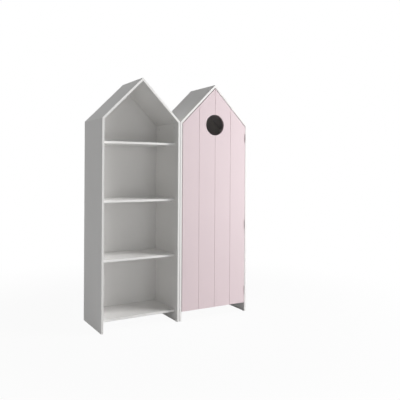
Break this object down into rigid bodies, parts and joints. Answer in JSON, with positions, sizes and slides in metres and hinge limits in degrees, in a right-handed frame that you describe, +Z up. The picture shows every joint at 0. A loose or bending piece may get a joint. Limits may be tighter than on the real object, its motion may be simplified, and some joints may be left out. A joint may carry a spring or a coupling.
{
  "type": "house-shaped children's shelf and cabinet set",
  "caption": "Two pitched-roof children's storage units side by side: an open shelf unit and a cabinet with a grooved pink door, hinged at the right, with a round window.",
  "frame": {"origin": "centre of the bounding box's bottom face, on the floor between the two units", "axes": "+Z up, +X to the right across the front, +Y from the front to the back; the shelf unit is on -X and the cabinet on +X"},
  "size_m": [1.1546, 0.3762, 1.708],
  "materials": {
    "white_lacquer": "satin white lacquer on wood board",
    "pink_lacquer": "satin pale pink lacquer on wood board",
    "white_fibreboard": "matt white face, raw fibre behind",
    "white_nylon": "matt moulded white",
    "white_enamel": "satin white enamel",
    "zinc_alloy": "zinc-plated, dull",
    "bright_steel": "bright plated steel",
    "beech": "plain fluted dowel wood",
    "ferrite": "matt dark grey sintered magnet"
  },
  "bodies": {
    "units": {"shelf_left_side": "white_lacquer", "shelf_right_side": "white_lacquer", "shelf_roof_left": "white_lacquer", "shelf_roof_right": "white_lacquer", "shelf_bottom": "white_lacquer", "shelf_lower": "white_lacquer", "shelf_middle": "white_lacquer", "shelf_upper": "white_lacquer", "shelf_back": "white_fibreboard", "shelf_cam_bolts": "bright_steel", "shelf_cam_locks": "zinc_alloy", "shelf_cam_caps": "white_nylon", "shelf_mitre_bolts": "bright_steel", "shelf_dowels": "beech", "shelf_supports": "bright_steel", "shelf_back_nails": "bright_steel", "shelf_glides": "white_nylon", "shelf_wall_bracket": "zinc_alloy", "shelf_bracket_screw": "bright_steel", "cabinet_left_side": "white_lacquer", "cabinet_right_side": "white_lacquer", "cabinet_roof_left": "white_lacquer", "cabinet_roof_right": "white_lacquer", "cabinet_bottom": "white_lacquer", "cabinet_lower": "white_lacquer", "cabinet_middle": "white_lacquer", "cabinet_upper": "white_lacquer", "cabinet_back": "white_fibreboard", "cabinet_cam_bolts": "bright_steel", "cabinet_cam_locks": "zinc_alloy", "cabinet_cam_caps": "white_nylon", "cabinet_mitre_bolts": "bright_steel", "cabinet_dowels": "beech", "cabinet_supports": "bright_steel", "cabinet_back_nails": "bright_steel", "cabinet_glides": "white_nylon", "cabinet_wall_bracket": "zinc_alloy", "cabinet_bracket_screw": "bright_steel", "hinge_frame_leaves": "white_enamel", "hinge_pins": "white_enamel", "hinge_frame_screws": "bright_steel", "catch_cases": "white_nylon", "catch_magnets": "ferrite", "catch_poles": "zinc_alloy", "catch_screws": "bright_steel"},
    "door": {"door_panel": "pink_lacquer", "hinge_door_leaves": "white_enamel", "hinge_door_screws": "bright_steel", "strike_plates": "zinc_alloy", "strike_screws": "bright_steel"}
  },
  "joints": [
    {"name": "door_hinge", "type": "hinge", "parent": "units", "child": "door", "pos_m": [0.56105, -0.1851, 0.71], "axis": [0, 0, 1], "range_deg": [0, 180]}
  ]
}
